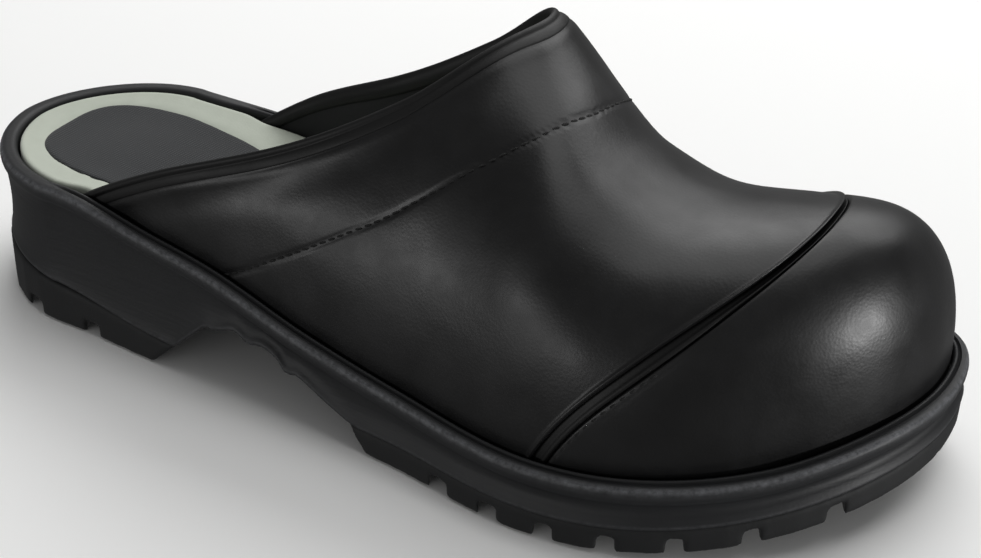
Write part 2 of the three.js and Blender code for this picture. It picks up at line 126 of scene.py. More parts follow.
def buildStudio(values):
    scene = bpy.context.scene
    scene.view_settings.view_transform = "Standard"
    world = bpy.data.worlds.new("studio")
    world.use_nodes = True
    sky = world.node_tree.nodes["Background"]
    sky.inputs["Color"].default_value = (1, 1, 1, 1)
    sky.inputs["Strength"].default_value = values["roomLight"]
    scene.world = world
    for name, (turn, height, away, size, power) in values["boxes"].items():
        data = bpy.data.lights.new(name, "AREA")
        data.shape, data.energy = "RECTANGLE", power
        data.size, data.size_y = (side * mm for side in size)
        light = bpy.data.objects.new(name, data)
        light.location = towards(turn, height) * away * mm
        light.rotation_mode = "QUATERNION"
        light.rotation_quaternion = (-light.location).to_track_quat("-Z", "Y")
        bpy.context.collection.objects.link(light)
    # plywood, rolled with matt emulsion: an even white with no gloss
    material, tree, shader = newMaterial("matt painted plywood")
    shader.inputs["Base Color"].default_value = linear(values["floor"])
    shader.inputs["Roughness"].default_value = values["floorRoughness"]
    half = values["floorSize"] / 2 * mm
    corners = [(-half, -half, 0), (half, -half, 0), (half, half, 0), (-half, half, 0)]
    mesh = bpy.data.meshes.new("floor")
    mesh.from_pydata(corners, [], [(0, 1, 2, 3)])
    mesh.materials.append(material)
    floor = bpy.data.objects.new("floor", mesh)
    bpy.context.collection.objects.link(floor)
    floor.visible_glossy = False  # the leather mirrors a dark room and not the floor


placeCamera(cameraView)
buildStudio(studio)
print("camera and studio ready")

# Shape of the sole and of the upper, as the frame has it

shape = {
    "length": 296, "ballWidth": 116, "heelWidth": 80, "toeSkew": 22, "toeShift": 2,
    "heelHeight": 47, "instepHeight": 112, "toeSpring": 14, "clearance": 0.3,
    "rimWidth": 4.8, "heelRimWidth": 5.4, "heelRimDepth": 7.5, "rimDepth": 4.5, "rimTaper": 8,
    "heelOutline": 1.84, "toeOutline": 2.26, "upperInset": 5.3, "upperWall": 2.4,
    "crownLean": 14.5, "toeLean": -4.5, "instepRoundness": 2.1, "toeRoundness": 2.5,
    "toeShapeFrom": 225,
    "collarLateral": 42, "collarMedial": 58, "collarTop": 173, "bindingRoll": 3.4,
    "seamBase": 208, "seamTop": 264, "seamSweep": 1.06,
    "heelLiftBack": 19, "heelLiftFront": 9, "foreTread": 8.5, "breastFoot": 77.5,
    "breastSlope": 1.05, "breastTop": 0.44, "treadStart": 155.5, "treadSlope": 0.74,
    "toeStep": 1.7, "wallTaper": 30, "wallMargin": 6,
}

# place along the sole, then the half widths of the outer and the inner side, as shares
soleSides = [
    (0.14, 0.342, 0.343), (0.27, 0.369, 0.399), (0.40, 0.395, 0.366),
    (0.55, 0.433, 0.402), (0.695, 0.493, 0.507),
]
# place along the sole, then the height as a share of the heel's
rimLine = [
    (0, 0.990), (0.15, 0.988), (0.25, 0.893), (0.34, 0.800), (0.45, 0.607),
    (0.56, 0.485), (0.68, 0.448), (0.78, 0.468), (0.89, 0.550), (1, 0.696),
]
# and the same of the upper's crown, as a share of the instep's
crownLine = [
    (0.15, 1.100), (0.35, 0.995), (0.50, 0.968), (0.58, 0.988), (0.64, 0.875),
    (0.695, 0.756), (0.76, 0.687), (0.84, 0.740), (1, 0.945),
]
# underside of the waist with its ribs, as shares of the length and of the heel's height
waistLine = [
    (0.346, 0.437), (0.359, 0.465), (0.367, 0.490), (0.376, 0.490), (0.382, 0.449), (0.390, 0.439),
    (0.402, 0.462), (0.415, 0.444), (0.424, 0.409), (0.427, 0.357), (0.435, 0.342), (0.444, 0.357),
    (0.452, 0.341), (0.477, 0.261),
]

ballX = soleSides[-1][0] * shape["length"]
heelX = soleSides[0][0] * shape["length"]
heelFront = shape["breastFoot"] + shape["breastSlope"] * shape["heelLiftFront"]
foreX = shape["treadStart"] - shape["treadSlope"] * shape["foreTread"]
clearance = shape["clearance"]


def mix(a, b, share):
    return a + (b - a) * share


def clamp(value, low=0, high=1):
    return max(low, min(high, value))


def ramp(x, start, end):
    t = clamp((x - start) / (end - start))
    return t * t * (3 - 2 * t)


def bump(x, centre, width):
    return math.exp(-((x - centre) / width) ** 2)


# Value of a table's column at a place, on a smooth curve through its rows
def tableValue(rows, at, column=1):
    last = len(rows) - 1
    i = 0
    while i < last - 1 and at > rows[i + 1][0]:
        i += 1

    def slope(j):
        if j in (0, last):
            return 0
        return (rows[j + 1][column] - rows[j - 1][column]) / (rows[j + 1][0] - rows[j - 1][0])

    span = rows[i + 1][0] - rows[i][0]
    t = clamp((at - rows[i][0]) / span)
    rise = t * t * (3 - 2 * t)
    bend = span * (slope(i) * t * (1 - t) ** 2 - slope(i + 1) * t * t * (1 - t))
    return mix(rows[i][column], rows[i + 1][column], rise) + bend


def rimZ(x):
    return tableValue(rimLine, x / shape["length"]) * shape["heelHeight"]


def seatZ(x):
    return rimZ(x) - mix(shape["heelRimDepth"], shape["rimDepth"], ramp(x, heelX, heelFront))


def crownZ(x):
    return tableValue(crownLine, x / shape["length"]) * shape["instepHeight"]


def floorZ(x):
    return shape["toeSpring"] * max(0, (x - ballX) / (shape["length"] - ballX)) ** 2


def skewAt(inset):
    return shape["toeSkew"] + shape["toeShift"] * min(1, inset / shape["upperInset"])


def halfWidth(x, side):
    return tableValue(soleSides, x / shape["length"], 1 if side < 0 else 2) * shape["ballWidth"]


def toeStretch(across, ahead):
    if ahead <= 0:
        return 1
    reach = math.hypot(across, ahead)
    total = abs(across / reach) ** shape["toeOutline"] + (ahead / reach) ** shape["toeOutline"]
    return total ** (-1 / shape["toeOutline"])


# Point of the sole's outline. Stations up to 1 lie round the heel, up to 2 along the side
# and up to 3 round the toe
def outlinePoint(station, side, inset):
    if station < 1:
        turn = station * math.pi / 2
        power = 2 / shape["heelOutline"]
        x = heelX - (heelX - inset) * math.cos(turn) ** power
        return x, side * (shape["heelWidth"] / 2 - inset) * math.sin(turn) ** power
    if station <= 2:
        x = mix(heelX, ballX, station - 1)
        return x, side * (halfWidth(x, side) - inset)
    turn = (station - 2) * math.pi / 2
    across, ahead = math.cos(turn), math.sin(turn)
    stretch = toeStretch(across, ahead)
    x = ballX + (shape["length"] - ballX - inset) * ahead * stretch
    y = side * (halfWidth(ballX, side) - inset) * across * stretch
    return x, y + skewAt(inset) * (ahead * stretch) ** 2


# Point of the upper at a place along the sole and a turn over the foot, where the turn goes
# from the outer side to the inner
def upperPoint(reach, turn, depth):
    side = -math.cos(turn)
    ahead = clamp((reach - ballX) / (shape["length"] - ballX))
    across = side * math.sqrt(1 - ahead * ahead)
    rho = min(1, math.hypot(across, ahead))
    stretch = toeStretch(across, ahead)
    half = halfWidth(min(reach, ballX), side) - shape["upperInset"] - depth
    toeLength = shape["length"] - ballX - shape["upperInset"] - depth
    x = ballX + toeLength * ahead * stretch if ahead > 0 else reach
    if x < shape["collarTop"]:
        crown = shape["crownLean"] * ramp(x, shape["collarMedial"], shape["collarTop"])
    else:
        crown = mix(shape["crownLean"], shape["toeLean"], ramp(x, shape["collarTop"], ballX))
    y = half * across * stretch + skewAt(shape["upperInset"]) * (ahead * stretch) ** 2
    y += crown * (1 - rho * rho)
    squarer = ramp(x, shape["collarTop"], shape["toeShapeFrom"])
    power = mix(shape["instepRoundness"], shape["toeRoundness"], squarer)
    rise = (crownZ(x) - depth - seatZ(x)) * max(0, 1 - rho ** power) ** (1 / power)
    return Vector((x, y, seatZ(x) + rise))


def arch(turn):
    return max(0, math.sin(turn))


def collarReach(turn):
    base = mix(shape["collarLateral"], shape["collarMedial"], (1 - math.cos(turn)) / 2)
    return mix(base, shape["collarTop"], arch(turn))


def seamReach(turn):
    return mix(shape["seamBase"], shape["seamTop"], arch(turn) ** shape["seamSweep"])


def thickening(reach, seam):
    done = seam - shape["wallMargin"]
    return shape["toeStep"] * ramp(reach, done - shape["wallTaper"], done)


# Stations of the outline, from the heel's tip to the toe's, the same on both sides
steps = {"heel": 22, "side": 84, "toe": 40}
stations = (
    [i / steps["heel"] for i in range(steps["heel"])]
    + [1 + i / steps["side"] for i in range(steps["side"])]
    + [2 + i / steps["toe"] for i in range(steps["toe"] + 1)]
)

# The frame's own place of the back of the heel and of the sole's outer edge
frameShift = Vector((
    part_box("midsole")[0].x / mm,
    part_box("midsole")[0].y / mm - min(outlinePoint(s, -1, 0)[1] for s in stations),
    0,
))


def soleRing(insetAt, heightAt):
    def point(station, side):
        inset = insetAt(outlinePoint(station, side, 0)[0], side)
        x, y = outlinePoint(station, side, inset)
        return Vector((x, y, heightAt(x)))

    return [point(s, -1) for s in stations] + [point(s, 1) for s in reversed(stations)]


# Mesh of rings, each closed on itself. Strips or a single face close the first and the last
def loftMesh(rings, strips=True):
    count = len(rings[0])
    last = (len(rings) - 1) * count
    points = [p for ring in rings for p in ring]
    faces = []
    for a in range(0, last, count):
        b = a + count
        for i in range(count):
            j = (i + 1) % count
            faces.append((a + i, a + j, b + j, b + i))
    if strips:
        for i in range(count // 2 - 1):
            back = count - 1 - i
            faces.append((i, back, back - 1, i + 1))
            faces.append((last + i, last + i + 1, last + back - 1, last + back))
    else:
        faces.append(tuple(range(count)))
        faces.append(tuple(last + i for i in range(count)))
    return points, faces


def joinMeshes(parts):
    points, faces = [], []
    for somePoints, someFaces in parts:
        base = len(points)
        points += somePoints
        faces += [tuple(base + i for i in face) for face in someFaces]
    return points, faces


same = 0.01  # distance under which two points of a mesh become one


# New piece on the root body, standing for the nodes that it names
def addPiece(name, points, faces, material, stands=(), scuffAndPaintedHighlight=None, sharp=None):
    mesh = bpy.data.meshes.new(name)
    mesh.from_pydata([(p + frameShift) * mm for p in points], [], faces)
    # the marks paint grey into the colour: partly scuffs, partly a painted highlight along the
    # rim's shoulder and the lip's ridge
    if scuffAndPaintedHighlight:
        layer = mesh.attributes.new("scuff_and_painted_highlight", "FLOAT", "POINT")
        layer.data.foreach_set("value", scuffAndPaintedHighlight)
    work = bmesh.new()
    work.from_mesh(mesh)
    bmesh.ops.remove_doubles(work, verts=work.verts, dist=same * mm)
    bmesh.ops.recalc_face_normals(work, faces=work.faces)
    work.to_mesh(mesh)
    work.free()
    mesh.materials.append(material)
    mesh.shade_smooth()
    piece = bpy.data.objects.new(name, mesh)
    bpy.context.collection.objects.link(piece)
    if sharp:
        mesh.set_sharp_from_angle(angle=math.radians(sharp))
    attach(piece, "root")
    if stands:
        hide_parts(*stands)
    return piece


# Materials

leatherFinish = {
    "colour": "#090909", "worn": "#101011", "mottle": 14, "roughness": 0.36, "smoothest": -0.05,
    "roughest": 0.07, "grain": 0.8, "grainHeight": 0.018, "crease": 8, "creaseHeight": 0.07,
    "gloss": 1.42,
}


# full-grain cowhide, drum dyed and plated smooth: an even satin with a very fine pebble
def leatherMaterial(name, values):
    material, tree, shader = newMaterial(name)
    where = addNode(tree, "TexCoord").outputs["Object"]
    pebble = addNode(tree, "TexVoronoi", {"feature": "SMOOTH_F1"}, {
        "Vector": where, "Scale": 1 / (values["grain"] * mm), "Smoothness": 0.5,
    })
    pull = addNode(tree, "TexNoise", None, {
        "Vector": where, "Scale": 1 / (values["crease"] * mm), "Detail": 3, "Roughness": 0.45,
    })
    mottle = addNode(tree, "TexNoise", None, {
        "Vector": where, "Scale": 1 / (values["mottle"] * mm), "Detail": 4, "Roughness": 0.55,
    })
    tone = addNode(tree, "Mix", {"data_type": "RGBA"}, {
        0: mottle.outputs[0], 6: linear(values["colour"]), 7: linear(values["worn"]),
    })
    tree.links.new(tone.outputs[2], shader.inputs["Base Color"])
    rough = addNode(tree, "MapRange", None, {
        "Value": mottle.outputs[0], "From Min": 0.3, "From Max": 0.7,
        "To Min": values["roughness"] + values["smoothest"],
        "To Max": values["roughness"] + values["roughest"],
    })
    tree.links.new(rough.outputs[0], shader.inputs["Roughness"])
    soft = addNode(tree, "Bump", None, {
        "Height": pull.outputs[0], "Strength": 1, "Distance": values["creaseHeight"] * mm,
    })
    fine = addNode(tree, "Bump", None, {
        "Height": pebble.outputs[0], "Strength": 1, "Distance": values["grainHeight"] * mm,
        "Normal": soft.outputs[0],
    })
    tree.links.new(fine.outputs[0], shader.inputs["Normal"])
    shader.inputs["IOR"].default_value = values["gloss"]
    return material


unitFinish = {
    "colour": "#0d0e10", "faded": "#17181a", "cloud": 22, "roughness": 0.54, "smoothest": -0.06,
    "roughest": 0.1, "spark": 0.8, "sparkHeight": 0.05, "scuffAndHighlightColour": "#5c5d60", "scuff": 1.6,
    "streaks": (0.05, 0.05, 0.7), "streakHeight": 0.12, "gloss": 1.42,
}


# polyurethane, injection moulded in a sparked mould: matt, finely pitted, and it scuffs grey; the
# grey along the rim's shoulder and the lip's ridge is partly scuffs and partly a painted highlight
def unitMaterial(name, values):
    material, tree, shader = newMaterial(name)
    where = addNode(tree, "TexCoord").outputs["Object"]
    pits = addNode(tree, "TexNoise", None, {
        "Vector": where, "Scale": 1 / (values["spark"] * mm), "Detail": 3, "Roughness": 0.6,
    })
    scuffs = addNode(tree, "TexNoise", None, {
        "Vector": where, "Scale": 1 / (values["scuff"] * mm), "Detail": 5, "Roughness": 0.7,
    })
    drawn = addNode(tree, "Mapping", None, {"Vector": where, "Scale": values["streaks"]})
    streaks = addNode(tree, "TexNoise", None, {
        "Vector": drawn.outputs[0], "Scale": 1 / mm, "Detail": 3,
    })
    cloud = addNode(tree, "TexNoise", None, {
        "Vector": where, "Scale": 1 / (values["cloud"] * mm), "Detail": 3,
    })
    # grey mixed in along the marked rows: partly scuffs, partly a painted highlight line on the
    # rim's shoulder and the lip's ridge
    edge = addNode(tree, "Attribute", {"attribute_name": "scuff_and_painted_highlight"})
    patch = addNode(tree, "MapRange", None, {
        "Value": scuffs.outputs[0], "From Min": 0.25, "From Max": 0.7,
    })
    amount = addNode(tree, "Math", {"operation": "MULTIPLY", "use_clamp": True}, {
        0: edge.outputs["Fac"], 1: patch.outputs[0],
    })
    base = addNode(tree, "Mix", {"data_type": "RGBA"}, {
        0: cloud.outputs[0], 6: linear(values["colour"]), 7: linear(values["faded"]),
    })
    tone = addNode(tree, "Mix", {"data_type": "RGBA"}, {
        0: amount.outputs[0], 6: base.outputs[2], 7: linear(values["scuffAndHighlightColour"]),
    })
    tree.links.new(tone.outputs[2], shader.inputs["Base Color"])
    rough = addNode(tree, "MapRange", None, {
        "Value": cloud.outputs[0],
        "To Min": values["roughness"] + values["smoothest"],
        "To Max": values["roughness"] + values["roughest"],
    })
    tree.links.new(rough.outputs[0], shader.inputs["Roughness"])
    pitted = addNode(tree, "Bump", None, {
        "Height": pits.outputs[0], "Strength": 1, "Distance": values["sparkHeight"] * mm,
    })
    flowed = addNode(tree, "Bump", None, {
        "Height": streaks.outputs[0], "Strength": 1, "Distance": values["streakHeight"] * mm,
        "Normal": pitted.outputs[0],
    })
    tree.links.new(flowed.outputs[0], shader.inputs["Normal"])
    shader.inputs["IOR"].default_value = values["gloss"]
    return material


treadFinish = {
    "colour": "#0a0b0c", "dusty": "#141516", "dust": 9, "roughness": 0.68, "grit": 0.7,
    "gritHeight": 0.07, "gloss": 1.4,
}


# nitrile rubber, compression moulded: dull black with a dusty, slightly rough skin
def treadMaterial(name, values):
    material, tree, shader = newMaterial(name)
    where = addNode(tree, "TexCoord").outputs["Object"]
    grit = addNode(tree, "TexNoise", None, {
        "Vector": where, "Scale": 1 / (values["grit"] * mm), "Detail": 4, "Roughness": 0.6,
    })
    dust = addNode(tree, "TexNoise", None, {
        "Vector": where, "Scale": 1 / (values["dust"] * mm), "Detail": 4,
    })
    tone = addNode(tree, "Mix", {"data_type": "RGBA"}, {
        0: dust.outputs[0], 6: linear(values["colour"]), 7: linear(values["dusty"]),
    })
    tree.links.new(tone.outputs[2], shader.inputs["Base Color"])
    shader.inputs["Roughness"].default_value = values["roughness"]
    rough = addNode(tree, "Bump", None, {
        "Height": grit.outputs[0], "Strength": 1, "Distance": values["gritHeight"] * mm,
    })
    tree.links.new(rough.outputs[0], shader.inputs["Normal"])
    shader.inputs["IOR"].default_value = values["gloss"]
    return material


footbedFinish = {
    "colour": "#bcc2b5", "shade": "#adb3a6", "cloud": 6, "roughness": 0.9, "nap": 0.7,
    "napHeight": 0.06, "sheen": 0.25, "sheenRoughness": 0.5,
}


# microfibre fleece, needled and brushed over foam: even and dry, with a soft nap
def footbedMaterial(name, values):
    material, tree, shader = newMaterial(name)
    where = addNode(tree, "TexCoord").outputs["Object"]
    nap = addNode(tree, "TexNoise", None, {
        "Vector": where, "Scale": 1 / (values["nap"] * mm), "Detail": 5, "Roughness": 0.7,
    })
    cloud = addNode(tree, "TexNoise", None, {
        "Vector": where, "Scale": 1 / (values["cloud"] * mm), "Detail": 3,
    })
    tone = addNode(tree, "Mix", {"data_type": "RGBA"}, {
        0: cloud.outputs[0], 6: linear(values["colour"]), 7: linear(values["shade"]),
    })
    tree.links.new(tone.outputs[2], shader.inputs["Base Color"])
    shader.inputs["Roughness"].default_value = values["roughness"]
    shader.inputs["Sheen Weight"].default_value = values["sheen"]
    shader.inputs["Sheen Roughness"].default_value = values["sheenRoughness"]
    fuzz = addNode(tree, "Bump", None, {
        "Height": nap.outputs[0], "Strength": 1, "Distance": values["napHeight"] * mm,
    })
    tree.links.new(fuzz.outputs[0], shader.inputs["Normal"])
    return material


weaveFinish = {
    "colour": "#1b1d1f", "light": "#2c2e31", "roughness": 0.85, "thread": 0.9, "height": 0.1,
    "sheen": 0.15, "wander": 1.2,
}


# Scale of a wave texture whose bands lie this far apart
def bandScale(apart):
    return math.pi / 10 / (apart * mm)


# polyester, woven with threads finer than the picture can show, so they are drawn 0.9 mm apart:
# a dark charcoal that breaks up into small specks
def weaveMaterial(name, values):
    material, tree, shader = newMaterial(name)
    where = addNode(tree, "TexCoord").outputs["Object"]
    warp, weft = (
        addNode(tree, "TexWave", {"wave_type": "BANDS", "bands_direction": direction}, {
            "Vector": where, "Scale": bandScale(values["thread"]), "Distortion": values["wander"],
            "Detail": 1, "Detail Scale": 1.5,
        })
        for direction in "XY"
    )
    cross = addNode(tree, "Math", {"operation": "MULTIPLY"}, {
        0: warp.outputs[1], 1: weft.outputs[1],
    })
    tone = addNode(tree, "Mix", {"data_type": "RGBA"}, {
        0: cross.outputs[0], 6: linear(values["colour"]), 7: linear(values["light"]),
    })
    tree.links.new(tone.outputs[2], shader.inputs["Base Color"])
    shader.inputs["Roughness"].default_value = values["roughness"]
    shader.inputs["Sheen Weight"].default_value = values["sheen"]
    raised = addNode(tree, "Bump", None, {
        "Height": cross.outputs[0], "Strength": 1, "Distance": values["height"] * mm,
    })
    tree.links.new(raised.outputs[0], shader.inputs["Normal"])
    return material


threadFinish = {"colour": "#040404", "roughness": 0.8, "twist": 0.35, "twistHeight": 0.05}


# nylon thread, twisted and bonded: near black and dull, so that the row reads as a dark line
def threadMaterial(name, values):
    material, tree, shader = newMaterial(name)
    where = addNode(tree, "TexCoord").outputs["Object"]
    twist = addNode(tree, "TexWave", {"wave_type": "BANDS", "bands_direction": "DIAGONAL"}, {
        "Vector": where, "Scale": bandScale(values["twist"]),
    })
    shader.inputs["Base Color"].default_value = linear(values["colour"])
    shader.inputs["Roughness"].default_value = values["roughness"]
    ply = addNode(tree, "Bump", None, {
        "Height": twist.outputs[1], "Strength": 1, "Distance": values["twistHeight"] * mm,
    })
    tree.links.new(ply.outputs[0], shader.inputs["Normal"])
    return material


leather = leatherMaterial("smooth full-grain leather", leatherFinish)
edgeLeather = leatherMaterial("folded edge leather", {
    **leatherFinish, "colour": "#070707", "worn": "#0d0d0d", "roughness": 0.5, "grain": 0.7,
    "gloss": 1.36,
})
unitPlastic = unitMaterial("moulded polyurethane", unitFinish)
treadRubber = treadMaterial("moulded nitrile rubber", treadFinish)
fleece = footbedMaterial("brushed microfibre", footbedFinish)
padCloth = weaveMaterial("woven polyester pad", weaveFinish)
liningCloth = footbedMaterial("brushed polyester lining", {
    **footbedFinish, "colour": "#121314", "shade": "#1b1c1d", "sheen": 0.1,
})
thread = threadMaterial("bonded nylon thread", threadFinish)
print("materials ready")

# Moulded unit of the sole

unit = {
    "heelLip": 0.75, "foreLip": 0.05, "lipHeight": 1.7, "lipDrop": 0.8, "dropStart": 4,
    "wallFoot": 0.45, "waistInset": 0.75, "shoulder": 1.15, "rimBand": 5.2, "rimRound": 1.9,
    "grooveDepth": 1.1, "grooveAt": 2.9, "grooveWidth": 0.4, "grooveFade": 6, "stripRise": 0.3,
    "bevel": 1.2, "bevelBeside": 0.45, "innerStep": 0.9, "wearNoise": 0.06, "wearSize": 2.6,
    "sharpFrom": 50,
    # shares of the heel between which the lip runs out, and where it hangs: centre and width
    "lipFade": (0.2, 0.9), "heelDrop": (0.8, 0.2),
    # bottom edge: inset from the lip, height over the underside, and a mark for scuffs and a
    # painted highlight on the ridge
    "lipRows": [(1.3, 0, 0), (0.3, 0, 0), (0.03, 0.4, 0.1), (0, 0.9, 0.25), (0.2, 1.5, 0)],
    "wallShares": [0.06, 0.15, 0.27, 0.4, 0.52, 0.64, 0.76, 0.88],
    # scuffs and painted highlight on the rim's rounding, from below
    "roundScuffAndHighlight": [0.5, 1, 0.75, 0.2, 0],
    # groove: place as a share of its width, depth as a share of its own
    "grooveRows": [(-1.3, 0), (-0.6, 0.8), (0, 1), (0.6, 0.8), (1.3, 0)],
    # strip inside the groove: share of its width, share of its rise
    "stripRows": [(0.25, 0.8), (0.5, 1), (0.75, 0.75), (1, 0)],
}


def collarEdge(side):
    return (shape["collarLateral"] if side < 0 else shape["collarMedial"]) + shape["bindingRoll"]


def rimInset(x, side):
    edge = collarEdge(side)
    share = ramp(x, edge - 1.5 * shape["rimTaper"], edge - 0.5 * shape["rimTaper"])
    return mix(shape["heelRimWidth"], shape["rimWidth"], share)


# Top of the heel's tread
def heelTop(x):
    return mix(shape["heelLiftBack"], shape["heelLiftFront"], x / heelFront)


# Underside of the unit
def underZ(x):
    if x >= foreX:
        return floorZ(x) + shape["foreTread"] + clearance
    top = shape["breastTop"] * shape["heelHeight"]
    line = [(place, heelTop(place) + clearance) for place in (0, heelFront)]
    line.append((shape["breastFoot"] + shape["breastSlope"] * top, top))
    for place, height in waistLine:
        line.append((place * shape["length"], height * shape["heelHeight"]))
    line.append((foreX, shape["foreTread"] + clearance))
    for (startX, startZ), (endX, endZ) in zip(line, line[1:]):
        if x <= endX:
            return mix(startZ, endZ, (x - startX) / (endX - startX))
    return line[-1][1]


def lipInset(x):
    start, end = unit["lipFade"]
    return mix(unit["heelLip"], unit["foreLip"], ramp(x, start * heelFront, end * heelFront))


# How far the lip hangs over the top of the tread, where the two meet without a groove
def lipDrop(x):
    centre, width = unit["heelDrop"]
    heelShare = bump(x, centre * heelFront, width * heelFront)
    return unit["lipDrop"] * max(ramp(x, foreX, foreX + unit["dropStart"]), heelShare)


# Rows of the unit, from the underside up the wall, over the rim and down on its inner side:
# inset and height at a place, and a mark for scuffs and a painted highlight
def unitRows():
    band, rim, narrow = unit["rimBand"], unit["rimRound"], unit["grooveWidth"]
    grooveEnd = unit["grooveAt"] + unit["grooveRows"][-1][0] * narrow

    def besideUpper(x, side):
        edge = collarEdge(side)
        return ramp(x, edge - unit["grooveFade"], edge + unit["grooveFade"])

    rows = []
    for drawn, up, worn in unit["lipRows"]:
        rows.append((
            lambda x, s, drawn=drawn: lipInset(x) + drawn,
            lambda x, s, up=up: underZ(x) + up - lipDrop(x),
            worn,
        ))
    for share in unit["wallShares"]:
        def wallInset(x, s, share=share):
            drawn = unit["waistInset"] * math.sin(share * math.pi)
            return mix(lipInset(x) + unit["wallFoot"], unit["shoulder"], share) + drawn

        def wallZ(x, s, share=share):
            return mix(underZ(x) + unit["lipHeight"], rimZ(x) - band, share)

        rows.append((wallInset, wallZ, 0))
    # band under the rim: depth under the rim, inset, and a mark for scuffs and a painted highlight
    for drop, inset, worn in (
        (band, 0.95, 0), (band - 0.5, 0.62, 0.1),
        (rim + 2, 0.3, 0), (rim + 1.2, 0.08, 0.05), (rim, 0, 0.2),
    ):
        rows.append((
            lambda x, s, inset=inset: inset,
            lambda x, s, drop=drop: rimZ(x) - drop,
            worn,
        ))
    for step, worn in enumerate(unit["roundScuffAndHighlight"], 1):
        turn = step / len(unit["roundScuffAndHighlight"]) * math.pi / 2
        rows.append((
            lambda x, s, turn=turn: rim * (1 - math.cos(turn)),
            lambda x, s, turn=turn: rimZ(x) - rim * (1 - math.sin(turn)),
            worn,
        ))
    for offset, sunk in unit["grooveRows"]:
        rows.append((
            lambda x, s, offset=offset: unit["grooveAt"] + offset * narrow,
            lambda x, s, sunk=sunk: rimZ(x) - sunk * unit["grooveDepth"] * besideUpper(x, s),
            0,
        ))
    for share, rise in unit["stripRows"]:
        def stripInset(x, s, share=share):
            return mix(grooveEnd, rimInset(x, s), share)

        def stripZ(x, s, share=share, rise=rise):
            close = besideUpper(x, s)
            cut = unit["bevel"] * mix(1, unit["bevelBeside"], close) * share ** 3
            return rimZ(x) + close * rise * unit["stripRise"] - cut

        rows.append((stripInset, stripZ, 0))
    rows.append((rimInset, lambda x, s: rimZ(x) - unit["bevel"] - unit["innerStep"], 0))
    rows.append((rimInset, lambda x, s: seatZ(x) - clearance, 0))
    return rows


def buildUnit():
    rings, scuffAndPaintedHighlight = [], []
    for insetAt, heightAt, worn in unitRows():
        ring = []
        for side, order in ((-1, stations), (1, reversed(stations))):
            for station in order:
                edge = outlinePoint(station, side, 0)[0]
                inset = insetAt(edge, side)
                x, y = outlinePoint(station, side, inset)
                point = Vector((x, y, heightAt(x, side)))
                if worn:
                    point.z += unit["wearNoise"] * worn * noise.noise(point / unit["wearSize"])
                ring.append(point)
                # this mark also paints the grey highlight line, partly scuffs and partly painted
                # highlight
                scuffAndPaintedHighlight.append(worn)
        rings.append(ring)
    points, faces = loftMesh(rings)
    addPiece(
        "soleUnit", points, faces, unitPlastic, ("midsole",),
        scuffAndPaintedHighlight=scuffAndPaintedHighlight, sharp=unit["sharpFrom"],
    )


buildUnit()
print("sole unit built")

# Treads: the frame's own lugs with their edges rounded off

treads = {"voxel": 0.8, "smoothing": 7, "strength": 0.5}


def buildTread(name, node):
    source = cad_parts[node]
    mesh = source.data.copy()
    mesh.name = name
    mesh.materials.clear()
    mesh.materials.append(treadRubber)
    piece = bpy.data.objects.new(name, mesh)
    bpy.context.collection.objects.link(piece)
    even = piece.modifiers.new("even", "REMESH")
    even.mode = "VOXEL"
    even.voxel_size = treads["voxel"] * mm
    even.use_smooth_shade = True
    rounding = piece.modifiers.new("rounding", "SMOOTH")
    rounding.factor = treads["strength"]
    rounding.iterations = treads["smoothing"]
    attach(piece, "root")
    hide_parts(node)


buildTread("heelTread", "outsole_heel")
buildTread("foreTread", "outsole_forefoot")
print("treads built")

# Footbed with its hollow under the heel, and the pad let into it

footbed = {
    "drop": 0.7, "cup": 2.8, "cupFront": 0.3, "border": 20, "gap": 0.8, "heelGap": 0.8,
    "edgeRound": 1.1, "edgeShares": [0, 0.3, 0.6, 1],
    # share of the border, share of the hollow
    "slope": [(0, 0), (0.25, 0.35), (0.6, 0.8), (1, 1)],
    # distance of each row from the edge
    "inward": [2, 3, 4.5, 6, 8, 10, 12, 14, 16, 18, 20, 22, 24, 26, 28],
}
pad = {
    "length": 77, "width": 48, "start": 15.3, "shift": 0.5, "squareness": 2.9, "proud": 0.5,
    "sunk": 1.2, "sideTop": -0.4, "edgeRound": 1.3, "roundSteps": 4, "crown": 0.25, "recess": 0.9,
    # reach of the recess in the footbed and of its flat, as shares of the pad's
    "recessReach": 1.015, "recessFlat": 0.94,
    "steps": 96, "shares": [0.86, 0.74, 0.6, 0.45, 0.3, 0.15, 0.04],
}


def footbedInset(x, side):
    edge = collarEdge(side)
    share = ramp(x, edge - 0.5 * shape["rimTaper"], edge + 0.7 * shape["rimTaper"])
    wide = shape["heelRimWidth"] + footbed["heelGap"]
    narrow = shape["upperInset"] + shape["upperWall"] + footbed["gap"]
    return mix(wide, narrow, share) + thickening(x, shape["seamBase"])


# Depth of the footbed's hollow, which fades out in front of the pad
def cupAt(x):
    end = pad["start"] + pad["length"] + footbed["border"]
    return footbed["cup"] * mix(1, footbed["cupFront"], ramp(x, heelX, end))


# Place on the pad as a share: 0 at its middle and 1 at its edge
def padReach(x, y):
    dx = abs(x - pad["start"] - pad["length"] / 2) / (pad["length"] / 2)
    dy = abs(y - pad["shift"]) / (pad["width"] / 2)
    return (dx ** pad["squareness"] + dy ** pad["squareness"]) ** (1 / pad["squareness"])


def bedZ(x, inward):
    sink = tableValue(footbed["slope"], inward / footbed["border"])
    return rimZ(x) - footbed["drop"] - sink * cupAt(x)


